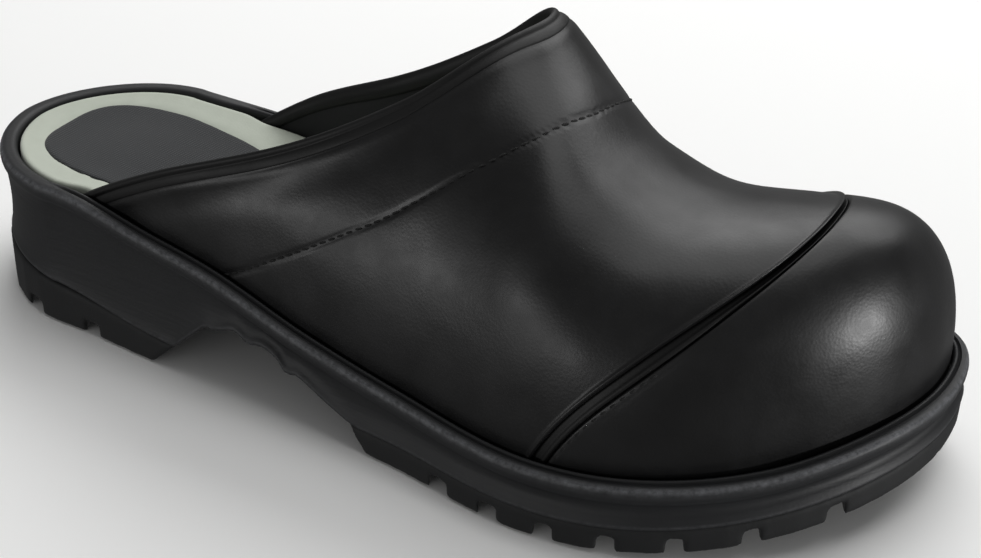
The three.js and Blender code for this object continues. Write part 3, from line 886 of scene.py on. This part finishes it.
def buildFootbed():
    rings = [soleRing(footbedInset, seatZ)]
    for share in footbed["edgeShares"]:
        turn = share * math.pi / 2
        drawn = footbed["edgeRound"] * (1 - math.cos(turn))
        sunk = footbed["edgeRound"] * (1 - math.sin(turn))
        rings.append(soleRing(
            lambda x, s: footbedInset(x, s) + drawn,
            lambda x: rimZ(x) - footbed["drop"] - sunk,
        ))
    for inward in footbed["inward"]:
        ring = soleRing(
            lambda x, s: footbedInset(x, s) + inward,
            lambda x: bedZ(x, min(inward, footbed["border"])),
        )
        for point in ring:
            reach = padReach(point.x, point.y)
            inside = 1 - ramp(reach, pad["recessFlat"], pad["recessReach"])
            point.z -= inside * pad["recess"]
        rings.append(ring)
    points, faces = loftMesh(rings)
    piece = addPiece("footbedCover", points, faces, fleece, ("insole",))


# Point of the pad at a turn round its middle and a share of the way to its edge
def padPoint(turn, share):
    swing = 2 / pad["squareness"]
    c, s = math.cos(turn), math.sin(turn)
    x = pad["start"] + pad["length"] / 2 * (1 + share * math.copysign(abs(c) ** swing, c))
    y = pad["shift"] + pad["width"] / 2 * share * math.copysign(abs(s) ** swing, s)
    return x, y


# Distance from the footbed's edge, for the slope that the pad follows
def inwardAt(x, y):
    side = -1 if y < 0 else 1
    if x < heelX:
        half, power = shape["heelWidth"] / 2, shape["heelOutline"]
        reach = ((heelX - x) / heelX) ** power + (abs(y) / half) ** power
        edge = (1 - reach ** (1 / power)) * min(half, heelX)
    else:
        edge = halfWidth(x, side) - abs(y)
    return clamp(edge - footbedInset(x, side), 0, footbed["border"])


def buildPad():
    # share of the way to the edge, height over the footbed
    rows = [(1, -pad["sunk"]), (1, pad["sideTop"])]
    for step in range(1, pad["roundSteps"] + 1):
        turn = step / pad["roundSteps"] * math.pi / 2
        inset = pad["edgeRound"] * (1 - math.cos(turn)) / (pad["width"] / 2)
        rows.append((1 - inset, mix(pad["sideTop"], pad["proud"], math.sin(turn))))
    for share in pad["shares"]:
        rows.append((share, pad["proud"] + pad["crown"] * (1 - share * share)))
    rings = []
    for share, rise in rows:
        ring = []
        for i in range(pad["steps"]):
            x, y = padPoint(i / pad["steps"] * 2 * math.pi, share)
            ring.append(Vector((x, y, bedZ(x, inwardAt(x, y)) + rise)))
        rings.append(ring)
    points, faces = loftMesh(rings, strips=False)
    piece = addPiece("heelPad", points, faces, padCloth, ("heel_pad",))


buildFootbed()
buildPad()
print("footbed and pad built")

# Leather of the upper

upper = {
    "columns": 220, "rows": 130, "rowEase": 0.6, "innerRows": 12, "toeRows": 90, "toeInnerRows": 16,
    "thick": 1.45, "toeThick": 1.35,
    # the leather's outer face: start at the collar, end and start of the toe at the seam
    "faceFrom": 3.6, "faceTo": -2.45, "toeFrom": 2.7,
    # its inner face in the same order
    "backFrom": 2.9, "backTo": -1.8, "toeBackFrom": 2,
    # rounded edges under the binding and at both sides of the seam: place, depth
    "collarRound": [(2.9, 1.2), (3, 0.7), (3.2, 0.4)],
    "seamRound": [(-2.35, 0), (-2.2, 0.22), (-2.08, 0.6), (-2.02, 1.2)],
    "toeRound": [(1.9, 1.35), (1.9, 0.75), (2, 0.35), (2.2, 0.12), (2.5, 0)],
    # depth, distance from the collar's edge and width: hollow, crease at the binding, fold
    "trough": (0.5, 10.5, 4.6), "crease": (0.12, 5.4, 0.4), "fold": (0.1, 7, 1),
    # and the leather under the binding: how deep it lies, and from where it rises to the crease
    "underBinding": 0.3, "risesFrom": 4,
    # the same along the stitched row: groove and the pull of the thread
    "rowGroove": (0.42, 0, 0.5), "rowPull": (0.07, 0, 2.2),
    "bead": 0.6, "beadAt": -2.85, "beadWidth": 0.45,
    # unevenness of the leather, with finer waves in it, and where it starts from each edge
    "soft": 0.24, "softSize": 26, "fineShare": 0.4, "fineSize": 0.45, "fineShift": (7, 3, 1),
    "softSides": 0.12, "softCollar": (5, 16), "softSeam": (3, 14),
    "toeSoft": 0.6, "toeSoftSeam": (4, 16), "toeSoftTip": 0.15,
    # share of the seam's width that is left on top of the foot
    "seamNarrow": 0.45,
}
turns = [math.pi * i / upper["columns"] for i in range(upper["columns"] + 1)]

stitches = {
    "vampLength": 2.6, "vampPitch": 3.05, "vampThick": 0.34, "vampDepth": 0.34, "vampEnd": 0.05,
    "toeLength": 2.4, "toePitch": 3.2, "toeThick": 0.42, "toeDepth": 0.25, "toeStart": 0.06,
    "toeEnd": 0.48, "toeAt": 2.9, "toeGroove": 0.35, "toeGrooveWidth": 0.6,
    "toeGrooveEnd": (0.45, 0.6), "slant": 0.12, "rings": 7, "sides": 8, "walkSteps": 6000,
    # least share of the thickness at the ends, height of the middle and drop of the ends
    "endShare": 0.04, "middleUp": 0.25, "endsDown": 0.75,
}
# stitched row over the vamp: turn over the foot, then the place along the sole
vampRow = [
    (0, 99), (0.066, 106.2), (0.298, 129), (0.437, 143.5), (0.562, 157), (0.691, 169.5),
    (0.883, 180.5), (1.194, 189.8), (1.640, 195.2), (2.149, 192.8), (2.5, 180), (2.8, 156),
    (3, 132), (math.pi, 112),
]


def relief(reach, turn):
    base = upperPoint(reach, turn, 0)
    fine = base / (upper["softSize"] * upper["fineSize"]) + Vector(upper["fineShift"])
    wave = noise.noise(base / upper["softSize"]) + upper["fineShare"] * noise.noise(fine)
    sides = upper["softSides"]
    return upper["soft"] * wave * ramp(turn, 0, sides) * ramp(math.pi - turn, 0, sides)


# Distance square to a line over the foot that one millimetre along the sole makes
@lru_cache(maxsize=None)
def squareness(lineAt, turn):
    step, half = 0.01, 0.5
    turn = clamp(turn, 2 * step, math.pi - 2 * step)
    before, after = turn - step, turn + step
    along = upperPoint(lineAt(after), after, 0) - upperPoint(lineAt(before), before, 0)
    along.normalize()
    reach = lineAt(turn)
    ahead = upperPoint(reach + half, turn, 0) - upperPoint(reach - half, turn, 0)
    return (ahead - along * ahead.dot(along)).length


# Place along the sole at a distance from a line over the foot, measured square to the line
def beside(lineAt, turn, away):
    return lineAt(turn) + away / squareness(lineAt, turn)


# Distance of a place from a line over the foot, measured the same way
def awayFrom(lineAt, turn, reach):
    return (reach - lineAt(turn)) * squareness(lineAt, turn)


# 0 on the sides of the foot, 1 on top
def onTop(turn):
    return ramp(arch(turn), 0.5, 0.97)


def seamWidth(turn):
    return mix(1, upper["seamNarrow"], onTop(turn))


def besideSeam(turn, away):
    return beside(seamReach, turn, away * seamWidth(turn))


def vampLine(turn):
    return tableValue(vampRow, turn)


def dent(away, values):
    depth, centre, width = values
    return depth * bump(away, centre, width)


def vampDepth(reach, turn):
    fromEdge = awayFrom(collarReach, turn, reach)
    toSeam = awayFrom(seamReach, turn, reach)
    toRow = awayFrom(vampLine, turn, reach)
    depth = -relief(reach, turn) * ramp(fromEdge, *upper["softCollar"])
    depth *= ramp(-toSeam, *upper["softSeam"])
    depth += dent(fromEdge, upper["trough"])
    covered = 1 - ramp(fromEdge, upper["risesFrom"], upper["crease"][1])
    depth += dent(fromEdge, upper["crease"]) + upper["underBinding"] * covered
    depth -= dent(fromEdge, upper["fold"])
    depth += dent(toRow, upper["rowGroove"]) + dent(toRow, upper["rowPull"])
    beadAt = upper["beadAt"] * seamWidth(turn)
    return depth - upper["bead"] * bump(toSeam, beadAt, upper["beadWidth"])


# Mesh of a shell over the foot: a ring at each turn, out along one face and back along the other
def shellMesh(outerAt, innerAt, outerRows, innerRows):
    rings = []
    for turn in turns:
        ring = [upperPoint(*outerAt(turn, k)) for k in range(outerRows)]
        ring += [upperPoint(*innerAt(turn, k)) for k in range(innerRows)]
        rings.append(ring)
    return loftMesh(rings, strips=False)


def buildVamp():
    rows, innerRows = upper["rows"], upper["innerRows"]
    collarRound, seamRound = upper["collarRound"], upper["seamRound"]

    def outerAt(turn, k):
        if k < len(collarRound):
            away, depth = collarRound[k]
            return beside(collarReach, turn, away), turn, depth
        k -= len(collarRound)
        if k < rows:
            share = k / (rows - 1)
            eased = mix(share, share * share * (3 - 2 * share), upper["rowEase"])
            start = beside(collarReach, turn, upper["faceFrom"])
            reach = mix(start, besideSeam(turn, upper["faceTo"]), eased)
            return reach, turn, vampDepth(reach, turn)
        away, depth = seamRound[k - rows]
        return besideSeam(turn, away), turn, depth

    def innerAt(turn, k):
        share = k / (innerRows - 1)
        end = beside(collarReach, turn, upper["backFrom"])
        return mix(besideSeam(turn, upper["backTo"]), end, share), turn, upper["thick"]

    total = len(collarRound) + rows + len(seamRound)
    points, faces = shellMesh(outerAt, innerAt, total, innerRows)
    addPiece("vampLeather", points, faces, leather, ("upper",))


def buildToe():
    rows, innerRows = upper["toeRows"], upper["toeInnerRows"]
    edgeRound = upper["toeRound"]

    def outerAt(turn, k):
        if k < len(edgeRound):
            away, depth = edgeRound[k]
            return besideSeam(turn, away), turn, depth
        share = math.sin((k - len(edgeRound) + 1) / rows * math.pi / 2)
        reach = mix(besideSeam(turn, upper["toeFrom"]), shape["length"], share)
        fromSeam = awayFrom(seamReach, turn, reach)
        depth = -upper["toeSoft"] * relief(reach, turn) * ramp(fromSeam, *upper["toeSoftSeam"])
        depth *= ramp(1 - share, 0, upper["toeSoftTip"])
        groove = bump(fromSeam, stitches["toeAt"], stitches["toeGrooveWidth"])
        ends = 1 - ramp(arch(turn), *stitches["toeGrooveEnd"])
        return reach, turn, depth + stitches["toeGroove"] * groove * ends

    def innerAt(turn, k):
        share = math.sin((1 - k / (innerRows - 1)) * math.pi / 2)
        reach = mix(besideSeam(turn, upper["toeBackFrom"]), shape["length"], share)
        return reach, turn, upper["toeThick"]

    points, faces = shellMesh(outerAt, innerAt, len(edgeRound) + rows, innerRows)
    addPiece("toeLeather", points, faces, leather, ("toe_piece",))


lining = {"rows": 60, "ease": 1.2, "depth": 1.55, "toeDepth": 0.1, "toeFrom": 150, "toeTo": 190}


# Lining against the foot, which also closes the seam from inside
def buildLining():
    rows = lining["rows"]

    def reachAt(turn, share):
        start = beside(collarReach, turn, upper["backFrom"])
        return mix(start, shape["length"], math.sin(share * math.pi / 2) ** lining["ease"])

    def outerAt(turn, k):
        reach = reachAt(turn, k / (rows - 1))
        deeper = lining["toeDepth"] * ramp(reach, lining["toeFrom"], lining["toeTo"])
        return reach, turn, lining["depth"] + deeper

    def innerAt(turn, k):
        reach = reachAt(turn, 1 - k / (rows - 1))
        return reach, turn, shape["upperWall"] + thickening(reach, seamReach(turn))

    points, faces = shellMesh(outerAt, innerAt, rows, rows)
    addPiece("upperLining", points, faces, liningCloth, ("upper",))


# Strip along a line over the foot, with a section of distances square to the line and depths
def stripAlong(placeAt, values):
    rings = []
    for i in range(values["steps"] + 1):
        turn = math.pi * i / values["steps"]
        sunk = values["sunkOnTop"] * onTop(turn)
        rings.append([
            upperPoint(placeAt(turn, away), turn, depth + sunk) for away, depth in values["section"]
        ])
    return loftMesh(rings, strips=False)


# bead along the seam, which lies deeper on top of the foot
piping = {
    "steps": 260, "sunkOnTop": 0.6,
    "section": [
        (-2.05, 1.95), (-2.05, 1.1), (-1.4, 0.82), (-0.7, 0.74), (-0.2, 0.62), (0.1, 0.4),
        (0.4, 0.18), (0.7, 0.08), (1, 0.08), (1.3, 0.2), (1.55, 0.5), (1.75, 0.9), (1.8, 1.5),
        (1.8, 1.95),
    ],
}


def buildPiping():
    points, faces = stripAlong(besideSeam, piping)
    addPiece("seamPiping", points, faces, edgeLeather, ("seam_piping",))


# rolled edge, a stitched groove beside it and the flat leg of the folded strip
binding = {
    "steps": 340, "sunkOnTop": 0,
    "section": [
        (4.6, 2.7), (3.4, 2.85), (2.3, 2.85), (1.3, 2.6), (0.6, 2.1), (0.15, 1.5), (0.02, 0.9),
        (0.2, 0.3), (0.5, -0.1), (0.9, -0.3), (1.3, -0.36), (1.75, -0.25), (2.1, 0.02),
        (2.35, 0.2), (2.6, 0.14), (2.9, 0.02), (3.5, -0.06), (4.2, -0.07), (4.8, 0), (5.1, 0.1),
        (5.2, 0.4), (4.9, 1.2),
    ],
}


def buildBinding():
    points, faces = stripAlong(lambda turn, away: beside(collarReach, turn, away), binding)
    addPiece("collarRoll", points, faces, edgeLeather, ("collar_binding",))


buildVamp()
buildToe()
buildLining()
buildPiping()
buildBinding()
print("upper built")

# Stitches


# Turns at which the threads of a row lie, one at each pitch along its line
def stitchTurns(lineAt, depth, start, end, pitch):
    found = []
    last = upperPoint(lineAt(start), start, depth)
    travelled, due = 0, 0
    for i in range(1, stitches["walkSteps"] + 1):
        turn = mix(start, end, i / stitches["walkSteps"])
        point = upperPoint(lineAt(turn), turn, depth)
        travelled += (point - last).length
        last = point
        if travelled >= due:
            found.append(turn)
            due += pitch
    return found


# Short rounded threads laid along a line over the foot, each bowed and a little slanted
def stitchRow(lineAt, depth, start, end, length, pitch, thick):
    step, below = 0.01, 1.5
    parts = []
    for turn in stitchTurns(lineAt, depth, start, end, pitch):
        reach = lineAt(turn)
        centre = upperPoint(reach, turn, depth)
        before, after = turn - step, turn + step
        ahead = upperPoint(lineAt(after), after, depth) - upperPoint(lineAt(before), before, depth)
        ahead.normalize()
        out = (upperPoint(reach, turn, 0) - upperPoint(reach, turn, below)).normalized()
        out = (out - ahead * out.dot(ahead)).normalized()
        across = ahead.cross(out)
        ahead = (ahead + across * stitches["slant"]).normalized()
        across = ahead.cross(out)
        rings = []
        for k in range(stitches["rings"]):
            share = k / (stitches["rings"] - 1) * 2 - 1
            radius = thick * math.sqrt(max(stitches["endShare"], 1 - share ** 4))
            bow = stitches["middleUp"] - stitches["endsDown"] * share * share
            middle = centre + ahead * share * length / 2 + out * bow * thick
            ring = []
            for i in range(stitches["sides"]):
                angle = i / stitches["sides"] * 2 * math.pi
                ring.append(middle + (out * math.cos(angle) + across * math.sin(angle)) * radius)
            rings.append(ring)
        parts.append(loftMesh(rings, strips=False))
    return parts


def buildStitches():
    vamp = stitchRow(
        vampLine, stitches["vampDepth"], stitches["vampEnd"], math.pi - stitches["vampEnd"],
        stitches["vampLength"], stitches["vampPitch"], stitches["vampThick"],
    )
    points, faces = joinMeshes(vamp)
    addPiece("vampStitches", points, faces, thread)
    toe = []
    first, last = stitches["toeStart"], stitches["toeEnd"]
    for start, end in ((first, last), (math.pi - last, math.pi - first)):
        toe += stitchRow(
            lambda turn: beside(seamReach, turn, stitches["toeAt"]),
            stitches["toeDepth"], start, end,
            stitches["toeLength"], stitches["toePitch"], stitches["toeThick"],
        )
    points, faces = joinMeshes(toe)
    addPiece("toeStitches", points, faces, thread)


buildStitches()
print("stitches built")
